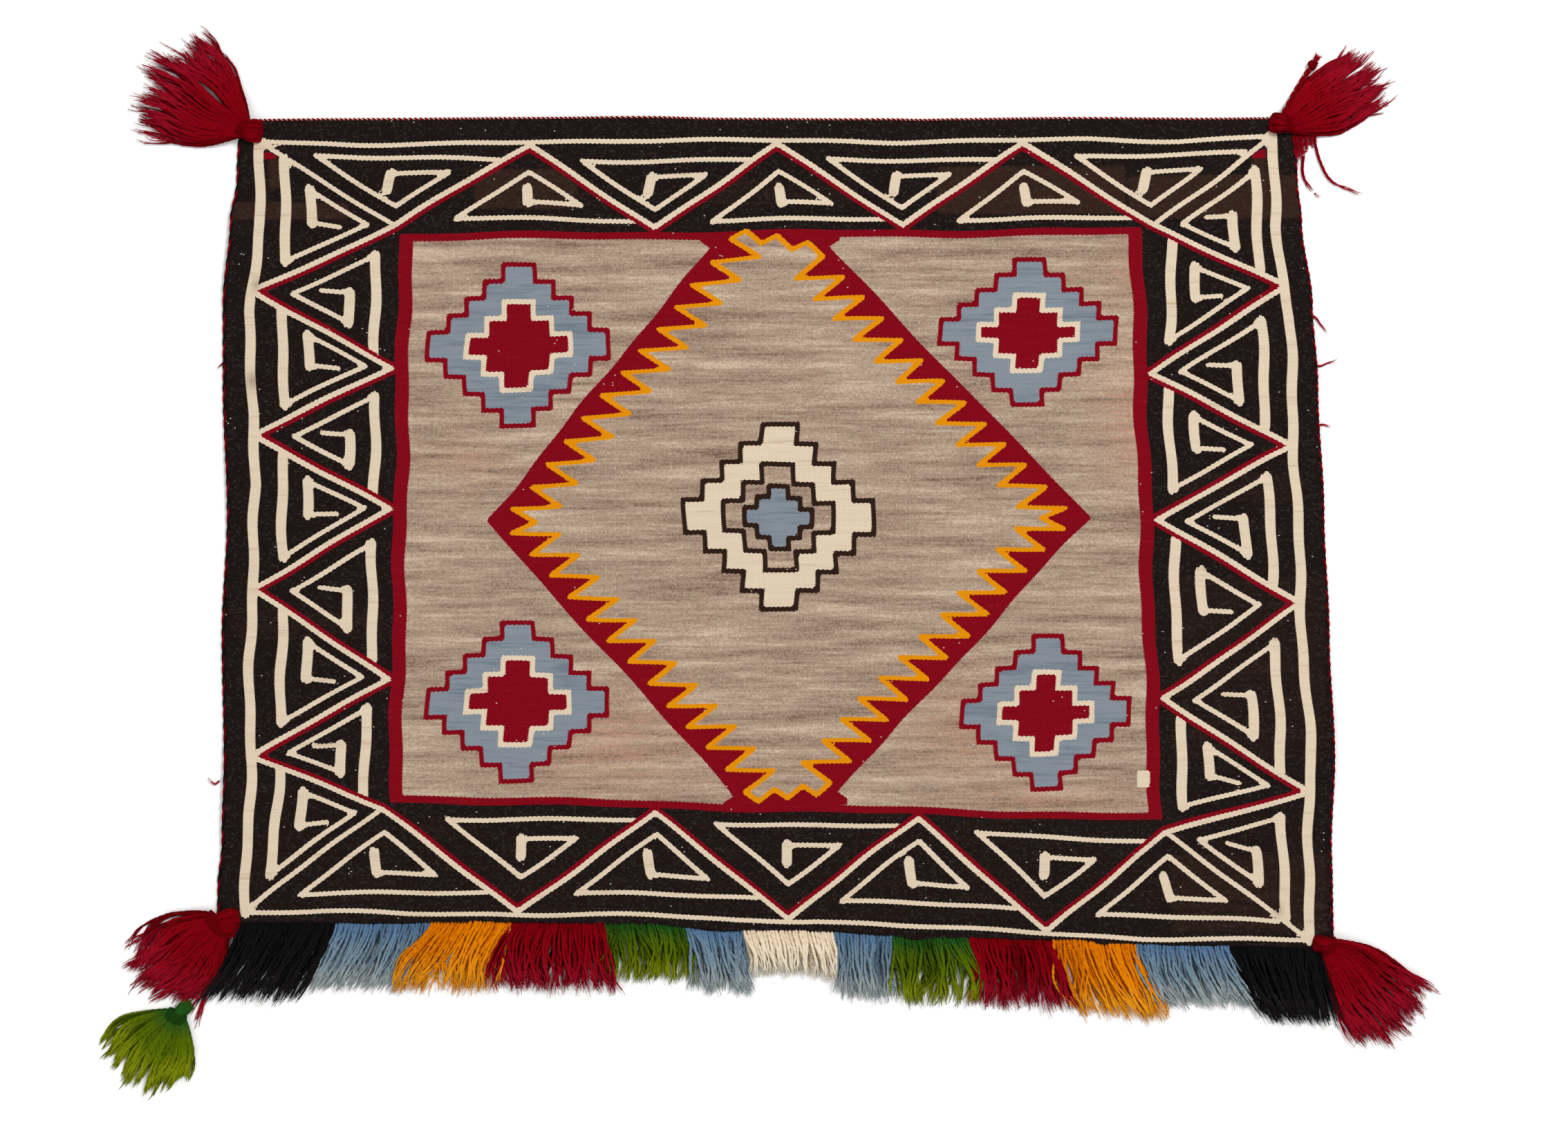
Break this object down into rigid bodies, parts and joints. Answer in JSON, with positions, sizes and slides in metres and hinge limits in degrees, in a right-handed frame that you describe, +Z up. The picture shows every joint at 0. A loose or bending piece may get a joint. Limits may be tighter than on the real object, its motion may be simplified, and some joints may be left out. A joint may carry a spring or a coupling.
{
  "type": "saddle blanket",
  "caption": "Flat woven wool saddle blanket with a knotted yarn fringe along one edge and loose yarn tassels at its corners.",
  "frame": {"origin": "under the middle of the whole object's box, on the surface that the blanket lies on", "axes": "+Z up out of the blanket's face, +X along its longer side to the right, +Y away from the fringed edge"},
  "size_m": [1.2476, 1.0002, 0.0129],
  "materials": {
    "cloth": "weft-faced wool weave, matt, with black, cream, red, blue and gold figures on a heathered grey-brown field",
    "red_yarn": "soft crimson wool yarn, matt",
    "black_yarn": "soft black wool yarn, matt",
    "blue_yarn": "soft light blue wool yarn, paler towards the tips",
    "gold_yarn": "soft golden yellow wool yarn, matt",
    "green_yarn": "wool yarn, dark green at the root and olive green at the tips",
    "white_yarn": "soft cream white wool yarn, matt"
  },
  "bodies": {
    "root": {"blanket": "cloth", "selvage_cord_left": "red_yarn", "selvage_cord_right": "red_yarn", "selvage_cord_top": "red_yarn", "fringe_01_black": "black_yarn", "fringe_02_blue": "blue_yarn", "fringe_03_gold": "gold_yarn", "fringe_04_red": "red_yarn", "fringe_05_green": "green_yarn", "fringe_06_blue": "blue_yarn", "fringe_07_white": "white_yarn", "fringe_08_blue": "blue_yarn", "fringe_09_green": "green_yarn", "fringe_10_red": "red_yarn", "fringe_11_gold": "gold_yarn", "fringe_12_blue": "blue_yarn", "fringe_13_black": "black_yarn", "tassel_top_left": "red_yarn", "tassel_top_right": "red_yarn", "tassel_bottom_left": "red_yarn", "tassel_bottom_right": "red_yarn", "tassel_green": "green_yarn", "corner_flap": "red_yarn"}
  },
  "joints": []
}
